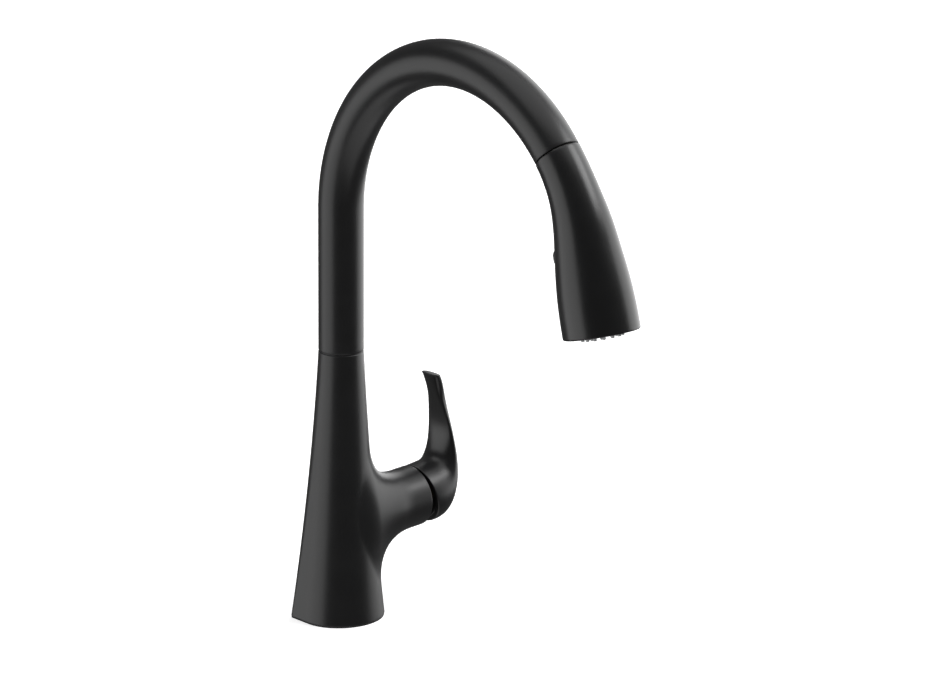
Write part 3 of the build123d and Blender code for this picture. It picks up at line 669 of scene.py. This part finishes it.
button_stand = 3.0
button_top = head_radius(button_along) + button_stand
button_edge = 0.8
flange = [(-1.0, 9.2), (-1.0, 8.0), (0, 8.0), (0, button_edge + 0.1)]
edge = [(button_edge * (1 - cos(a)), button_edge * (1 - sin(a))) for a in np.linspace(0.2, pi / 2, 6)]
thumb_hollow = [(2.4, 0.12), (3.6, 0.5)]
button_rings = []
for shrink, drop in flange + edge + thumb_hollow:
    half_wide, half_tall = button_wide / 2 - shrink, button_tall / 2 - shrink
    ring = []
    for x, z in rounded_outline(half_wide, half_tall, max(button_corner - shrink, 0.4), 8):
        level = sqrt(button_top ** 2 - x ** 2) - drop if drop < 5 else button_top - drop
        ring.append((x * mm, level * mm, z * mm))
    button_rings.append(ring)
pad = rings_mesh(button_rings)
pad_shape = bmesh.new()
pad_shape.from_mesh(pad)
bmesh.ops.recalc_face_normals(pad_shape, faces=pad_shape.faces)
pad_shape.to_mesh(pad)
pad.transform(button_frame)


def moulded(name, dark, light, grain, roughness, depth, metallic=0.0, stretch=(1, 1, 1)):
    """A finish with a fine grain: size in mm, stretched along an axis where a tool dragged it."""
    material, tree, shader = new_material(name)
    where = add(tree, "ShaderNodeMapping", {
        "Vector": add(tree, "ShaderNodeTexCoord").outputs["Object"], "Scale": stretch})
    fine = add(tree, "ShaderNodeTexNoise", {
        "Vector": where.outputs[0], "Scale": 1 / (grain * mm), "Detail": 4.0})
    broad = add(tree, "ShaderNodeTexNoise", {
        "Vector": where.outputs[0], "Scale": 1 / (14 * grain * mm), "Detail": 2.0})
    tone = add(tree, "ShaderNodeValToRGB", {"Fac": broad.outputs["Fac"]})
    tone.color_ramp.elements[0].position, tone.color_ramp.elements[1].position = 0.3, 0.7
    tone.color_ramp.elements[0].color, tone.color_ramp.elements[1].color = linear(dark), linear(light)
    gloss = add(tree, "ShaderNodeMapRange", {
        "Value": fine.outputs["Fac"], "To Min": roughness - 0.06, "To Max": roughness + 0.08})
    relief = add(tree, "ShaderNodeBump", {
        "Height": fine.outputs["Fac"], "Strength": 0.5, "Distance": depth * mm})
    tree.links.new(tone.outputs["Color"], shader.inputs["Base Color"])
    tree.links.new(gloss.outputs["Result"], shader.inputs["Roughness"])
    tree.links.new(relief.outputs["Normal"], shader.inputs["Normal"])
    shader.inputs["Metallic"].default_value = metallic
    return material


# Moulded ABS, coloured right through: a fine spark-eroded texture takes off its gloss.
black_abs = moulded("moulded_black_abs", "#121213", "#191919", 0.5, 0.42, 0.02)
place("thumb_button", pad, black_abs, "button", "black_button", "spray_button", sharp=40)


# ---------------------------------------------------------------------------------------------
# Nozzles: soft grey silicone, pushed through the face plate from behind in two rings, each with
# a rounded tip around its hole.

# Silicone moulded in a polished tool: pale grey and softly shining.
silicone = moulded("grey_silicone", "#dfe0e2", "#eceded", 0.4, 0.45, 0.01)
nozzle_radius, nozzle_stand, nozzle_hole = 1.1, 2.4, 0.45
nozzle_root = -4.8             # on the face plate, behind the head's mouth
tip = 0.45
nozzle = turned([(nozzle_radius, nozzle_root), (nozzle_radius, nozzle_stand - tip)]
                + [(nozzle_radius - tip * (1 - cos(a)), nozzle_stand - tip * (1 - sin(a)))
                   for a in np.linspace(0, pi / 2, 4)[1:]]
                + [(nozzle_hole, nozzle_stand - 0.05), (nozzle_hole, nozzle_root)], 16)
ring_tree, size = node_tree("nozzle_rings", "Inner count", "Inner ring", "Outer count", "Outer ring")
both = add(ring_tree, "GeometryNodeJoinGeometry")
for ring_name in ("Outer", "Inner"):
    circle = add(ring_tree, "GeometryNodeMeshCircle", {
        "Vertices": size[ring_name + " count"], "Radius": size[ring_name + " ring"]})
    copies = add(ring_tree, "GeometryNodeInstanceOnPoints", {
        "Points": circle.outputs["Mesh"], "Instance": size["Geometry"]})
    ring_tree.links.new(copies.outputs["Instances"], both.inputs["Geometry"])
end_tree(ring_tree, both.outputs["Geometry"], silicone)
nozzles = run_tree(ring_tree, nozzle, {"Inner count": 8, "Inner ring": 8.4 * mm,
                                       "Outer count": 14, "Outer ring": 12.2 * mm})
mouth = head_frame(head_length)
nozzles.transform(mouth)
place("spray_nozzle_tips", nozzles, silicone, "spray_head", "grey_silicone", "spray_nozzles")


# ---------------------------------------------------------------------------------------------
# Pull-out hose: a nylon braid over rubber, straight up through shank and body, round inside the
# arch and into the head's ferrule. Its last stretch, next to the head, is a piece of its own.

hose_radius = 5.2
hose_low, hose_straight, ferrule_length = -118.0, 9.5, 9.0
hose_bend = arch_radius - hose_straight / tan(arch_turn / 2)
hose_end = arch_start + hose_straight + hose_bend * arch_turn + hose_straight - ferrule_length
hose_around = 32

# Nylon braid: sixteen flat strands each way. Its colour follows the strands' height: painted shade in the
# gaps between them, a painted highlight on their raised tops.
braid, braid_tree, braid_shader = new_material("black_nylon_braid")
lay_of_hose = add(braid_tree, "ShaderNodeUVMap", uv_map="along_hose").outputs["UV"]
strand = 2 * pi * hose_radius / 16
band = 3.2                     # Wave Texture bands in one unit of its scale
heights_of = []
for lean in (0.8, -0.8):
    turned_lay = add(braid_tree, "ShaderNodeMapping", {"Vector": lay_of_hose, "Rotation": (0, 0, lean)})
    heights_of.append(add(braid_tree, "ShaderNodeTexWave", {
        "Vector": turned_lay.outputs[0], "Scale": 1 / (strand * mm) / band},
        wave_type="BANDS", bands_direction="X"))
crossing = add(braid_tree, "ShaderNodeMath", {
    0: heights_of[0].outputs["Fac"], 1: heights_of[1].outputs["Fac"]}, operation="MAXIMUM")
# painted shade and painted highlight: the strands' height sets their colour, darkest in the gaps and lightest
# on the raised tops
braid_painted_shade_and_highlight = add(braid_tree, "ShaderNodeValToRGB", {"Fac": crossing.outputs[0]})
braid_painted_shade_and_highlight.color_ramp.elements[0].color = linear("#0c0c0d")
braid_painted_shade_and_highlight.color_ramp.elements[1].color = linear("#3a3b3d")
braid_bump = add(braid_tree, "ShaderNodeBump", {"Height": crossing.outputs[0], "Distance": 0.3 * mm})
braid_tree.links.new(braid_painted_shade_and_highlight.outputs["Color"], braid_shader.inputs["Base Color"])
braid_tree.links.new(braid_bump.outputs["Normal"], braid_shader.inputs["Normal"])
braid_shader.inputs["Roughness"].default_value = 0.55


def braided_length(name, heights):
    """A stretch of the hose between two heights of its straightened length, in mm."""
    angles = np.linspace(0, 2 * pi, hose_around, False)
    hose = rings_mesh([[(hose_radius * cos(a) * mm, hose_radius * sin(a) * mm, z * mm) for a in angles]
                       for z in heights])
    flat_map = hose.uv_layers.new(name="along_hose")
    for face in hose.polygons[:-2]:
        row, column = divmod(face.index, hose_around)
        for loop, (across, up) in zip(face.loop_indices, ((0, 0), (1, 0), (1, 1), (0, 1))):
            flat_map.data[loop].uv = ((column + across) / hose_around * 2 * pi * hose_radius * mm,
                                      heights[row + up] * mm)
    hose = run_tree(bend_tree, hose, {"Bend start": (arch_start + hose_straight) * mm,
                                      "Bend radius": hose_bend * mm, "Bend turn": arch_turn})
    hose.name = name
    hose.shade_smooth()
    hose.materials.clear()
    hose.materials.append(braid)
    piece = bpy.data.objects.new(name, hose)
    bpy.context.scene.collection.objects.link(piece)
    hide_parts("pull_hose")
    return piece


ring_step = 3.0
long_rings = np.arange(hose_low, hose_end - 70 + 0.1, ring_step)
long_hose = braided_length("braided_hose", long_rings)
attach(long_hose, "spout")
hose_last = braided_length("braided_hose_end", np.linspace(long_rings[-1], hose_end, 150))
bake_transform(hose_last)


# ---------------------------------------------------------------------------------------------
# Mounting shank: brass tube under the deck with a rolled thread for the nut and a plain collar
# that centres it in the deck's hole.

# Turned brass: yellow, with fine rings where the tool went round.
brass = moulded("turned_brass", "#b08d4a", "#c8a765", 0.25, 0.32, 0.01, 1.0, (1, 1, 6))
collar_radius, collar_length = 16.6, 12.0
shank_radius, shank_bore, shank_low, thread_pitch, thread_depth = 16.2, 15.0, -78.0, 1.5, 0.5
neck_screwed, neck_top, break_edge = 16.0, 6.8, 0.4
thread_root = shank_radius - thread_depth
core = turned([(shank_bore, shank_low), (thread_root, shank_low), (thread_root, -collar_length),
               (collar_radius - break_edge, -collar_length), (collar_radius, -collar_length + break_edge),
               (collar_radius, -break_edge), (collar_radius - break_edge, 0), (neck_screwed, 0),
               (neck_screwed, neck_top), (shank_bore, neck_top)])
thread_tree, size = node_tree("rolled_thread", "Thread turns", "Thread radius", "Thread length", "Ridge")
helix = add(thread_tree, "GeometryNodeCurveSpiral", {
    "Resolution": 64, "Rotations": size["Thread turns"], "Start Radius": size["Thread radius"],
    "End Radius": size["Thread radius"], "Height": size["Thread length"]})
ridge = add(thread_tree, "GeometryNodeCurvePrimitiveCircle", {
    "Resolution": 3, "Radius": size["Ridge"]}, mode="RADIUS")
wound = add(thread_tree, "GeometryNodeCurveToMesh", {
    "Curve": helix.outputs["Curve"], "Profile Curve": ridge.outputs["Curve"], "Fill Caps": True})
low = add(thread_tree, "GeometryNodeTransform", {
    "Geometry": wound.outputs["Mesh"], "Translation": (0, 0, (shank_low + 1) * mm)})
joined = add(thread_tree, "GeometryNodeJoinGeometry", {"Geometry": size["Geometry"]})
thread_tree.links.new(low.outputs["Geometry"], joined.inputs["Geometry"])
end_tree(thread_tree, joined.outputs["Geometry"], brass)
thread_length = -shank_low - collar_length - 3
threaded = run_tree(thread_tree, core, {
    "Thread turns": thread_length / thread_pitch, "Thread radius": (thread_root - 0.02) * mm,
    "Thread length": thread_length * mm, "Ridge": 0.52 * mm})
place("threaded_shank", threaded, brass, "body", "brass", "mounting_shank")


# ---------------------------------------------------------------------------------------------
# The other pieces keep their CAD shapes: moulded plastics, rubber seals, plated steel, ceramic
# valve discs and the brass water ways.

# Acetal and ABS: moulded, waxy and even. The collar in the gap under the hub is painted shade: matt and
# blacker than the rest, it stands for the shadow in that gap.
black_acetal = moulded("black_acetal", "#0d0d0e", "#151516", 0.4, 0.38, 0.01)
painted_shade_acetal = moulded("black_acetal_painted_shade", "#040404", "#070707", 0.4, 0.65, 0.01)
dark_plate = moulded("dark_grey_abs", "#2b2c2e", "#343537", 0.4, 0.45, 0.01)
white_acetal = moulded("white_acetal", "#d9d9d4", "#ecebe6", 0.5, 0.4, 0.01)
# EPDM rubber: dull, with the fine grain of its mould.
rubber = moulded("black_epdm_rubber", "#17171a", "#222225", 0.3, 0.7, 0.03)
# Zinc and nickel plating: bright metals with drawn or barrelled surfaces.
steel = moulded("zinc_plated_steel", "#9a9da1", "#b4b7ba", 0.3, 0.35, 0.01, 1.0, (6, 1, 1))
magnet = moulded("nickel_plated_magnet", "#a8a49b", "#bdb9af", 0.3, 0.25, 0.005, 1.0)
# Alumina: fired white and lapped to a shine.
ceramic = moulded("alumina_ceramic", "#e6e3da", "#f2f0ea", 0.2, 0.2, 0.005)
finishes = {
    # painted shade: the collar in the gap under the hub is made blacker and duller than the other acetal to
    # stand for the gap's shadow
    painted_shade_acetal: ("dome_collar",),
    black_acetal: ("glide_ring", "lever_plug", "dock_collar", "clamp_washer"),
    dark_plate: ("spray_face", "face_ring", "aerator"),
    white_acetal: ("lower_bush", "upper_bush", "head_core", "cartridge_housing", "rotor_sleeve",
                   "check_valve", "hose_nut", "hose_coupling", "button_spindle"),
    rubber: ("deck_gasket", "clamp_seal", "cartridge_seal", "swivel_o_rings"),
    steel: ("nut_screws", "pivot_pin", "lever_set_screw", "swivel_clip", "button_spring", "hose_ferrule"),
    magnet: ("dock_magnet",),
    ceramic: ("fixed_disc", "moving_disc"),
    brass: ("mounting_nut", "cold_tail", "outlet_tail", "hot_tail", "valve_manifold", "cartridge_nut",
            "stem", "swivel_sleeve"),
}
for material, names in finishes.items():
    for name in names:
        for slot in nodes[name].material_slots:
            slot.material = material
